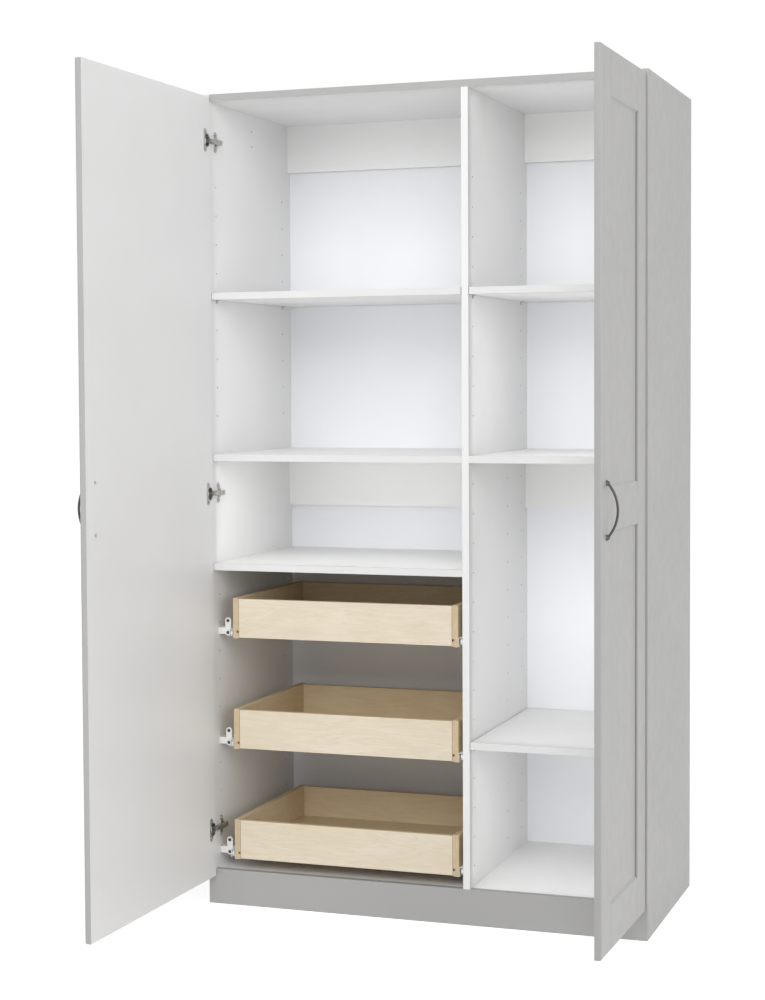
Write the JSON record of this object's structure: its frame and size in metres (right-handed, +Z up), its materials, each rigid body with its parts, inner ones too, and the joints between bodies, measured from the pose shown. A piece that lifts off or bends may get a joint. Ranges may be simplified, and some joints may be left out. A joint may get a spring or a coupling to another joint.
{
  "type": "tall utility cabinet",
  "caption": "Tall floor-standing utility cabinet with two hinged doors, two shelved bays and roll-out trays behind the wider door.",
  "frame": {"origin": "on the floor, at the middle of the cabinet's width, in the plane of the carcass front edges", "axes": "+X to the right seen from the front, +Y into the cabinet towards the wall, +Z up"},
  "size_m": [1.2751, 1.3489, 2.216],
  "materials": {
    "grey_board": "grey melamine, satin",
    "door_grey": "grey foil on fibreboard, satin",
    "white_board": "white melamine, satin",
    "back_sheet": "white melamine sheet",
    "maple_ply": "clear lacquered birch plywood",
    "nickel_steel": "nickel plated",
    "dark_nickel": "dark brushed nickel",
    "white_enamel": "white epoxy coat",
    "nylon": "moulded nylon"
  },
  "bodies": {
    "cabinet": {"side_left": "grey_board", "side_right": "grey_board", "divider": "white_board", "top_panel": "white_board", "floor_panel": "white_board", "toe_kick": "grey_board", "base_rail": "white_board", "base_bearer": "white_board", "back_panel": "back_sheet", "nailer_top_left": "white_board", "nailer_top_right": "white_board", "nailer_mid_left": "white_board", "nailer_mid_right": "white_board", "shelf_upper_left": "white_board", "shelf_upper_right": "white_board", "shelf_middle_left": "white_board", "shelf_middle_right": "white_board", "shelf_tray_bay": "white_board", "shelf_lower_right": "white_board", "shelf_pins": "nickel_steel", "slide_brackets": "nylon", "hinge_arms_left": "nickel_steel", "hinge_plates_left": "nickel_steel", "hinge_arms_right": "nickel_steel", "hinge_plates_right": "nickel_steel", "lower_rails": "white_enamel", "middle_rails": "white_enamel", "upper_rails": "white_enamel"},
    "left_door": {"door_left": "door_grey", "pull_left": "dark_nickel", "pull_screws_left": "nickel_steel", "hinge_cups_left": "nickel_steel"},
    "right_door": {"door_right": "door_grey", "pull_right": "dark_nickel", "pull_screws_right": "nickel_steel", "hinge_cups_right": "nickel_steel"},
    "lower_tray": {"lower_tray_side_left": "maple_ply", "lower_tray_side_right": "maple_ply", "lower_tray_front": "maple_ply", "lower_tray_back": "maple_ply", "lower_tray_floor": "maple_ply", "lower_runners": "white_enamel"},
    "lower_front_rollers": {"lower_front_rollers": "nylon"},
    "lower_rear_rollers": {"lower_rear_rollers": "nylon"},
    "middle_tray": {"middle_tray_side_left": "maple_ply", "middle_tray_side_right": "maple_ply", "middle_tray_front": "maple_ply", "middle_tray_back": "maple_ply", "middle_tray_floor": "maple_ply", "middle_runners": "white_enamel"},
    "middle_front_rollers": {"middle_front_rollers": "nylon"},
    "middle_rear_rollers": {"middle_rear_rollers": "nylon"},
    "upper_tray": {"upper_tray_side_left": "maple_ply", "upper_tray_side_right": "maple_ply", "upper_tray_front": "maple_ply", "upper_tray_back": "maple_ply", "upper_tray_floor": "maple_ply", "upper_runners": "white_enamel"},
    "upper_front_rollers": {"upper_front_rollers": "nylon"},
    "upper_rear_rollers": {"upper_rear_rollers": "nylon"}
  },
  "joints": [
    {"name": "left_door_hinge", "type": "hinge", "parent": "cabinet", "child": "left_door", "pos_m": [-0.5973, -0.014, 1.143], "axis": [0, 0, -1], "range_deg": [-91, 19]},
    {"name": "right_door_hinge", "type": "hinge", "parent": "cabinet", "child": "right_door", "pos_m": [0.5973, -0.014, 1.143], "axis": [0, 0, 1], "range_deg": [-89, 21]},
    {"name": "lower_tray_slide", "type": "slide", "parent": "cabinet", "child": "lower_tray", "axis": [0, -1, 0], "range_m": [0, 0.38]},
    {"name": "middle_tray_slide", "type": "slide", "parent": "cabinet", "child": "middle_tray", "axis": [0, -1, 0], "range_m": [0, 0.38]},
    {"name": "upper_tray_slide", "type": "slide", "parent": "cabinet", "child": "upper_tray", "axis": [0, -1, 0], "range_m": [0, 0.38]},
    {"name": "lower_front_roller_turn", "type": "hinge", "parent": "cabinet", "child": "lower_front_rollers", "pos_m": [0, 0.018, 0.14], "axis": [1, 0, 0], "range_deg": [0, 2300]},
    {"name": "lower_rear_roller_turn", "type": "hinge", "parent": "lower_tray", "child": "lower_rear_rollers", "pos_m": [0, 0.4935, 0.1418], "axis": [1, 0, 0], "range_deg": [0, 2300]},
    {"name": "middle_front_roller_turn", "type": "hinge", "parent": "cabinet", "child": "middle_front_rollers", "pos_m": [0, 0.018, 0.445], "axis": [1, 0, 0], "range_deg": [0, 2300]},
    {"name": "middle_rear_roller_turn", "type": "hinge", "parent": "middle_tray", "child": "middle_rear_rollers", "pos_m": [0, 0.4935, 0.4468], "axis": [1, 0, 0], "range_deg": [0, 2300]},
    {"name": "upper_front_roller_turn", "type": "hinge", "parent": "cabinet", "child": "upper_front_rollers", "pos_m": [0, 0.018, 0.75], "axis": [1, 0, 0], "range_deg": [0, 2300]},
    {"name": "upper_rear_roller_turn", "type": "hinge", "parent": "upper_tray", "child": "upper_rear_rollers", "pos_m": [0, 0.4935, 0.7518], "axis": [1, 0, 0], "range_deg": [0, 2300]}
  ],
  "couplings": [
    {"joint": "lower_front_roller_turn", "follows": "lower_tray_slide", "rad_per_m": 105.26},
    {"joint": "lower_rear_roller_turn", "follows": "lower_tray_slide", "rad_per_m": 105.26},
    {"joint": "middle_front_roller_turn", "follows": "middle_tray_slide", "rad_per_m": 105.26},
    {"joint": "middle_rear_roller_turn", "follows": "middle_tray_slide", "rad_per_m": 105.26},
    {"joint": "upper_front_roller_turn", "follows": "upper_tray_slide", "rad_per_m": 105.26},
    {"joint": "upper_rear_roller_turn", "follows": "upper_tray_slide", "rad_per_m": 105.26}
  ]
}
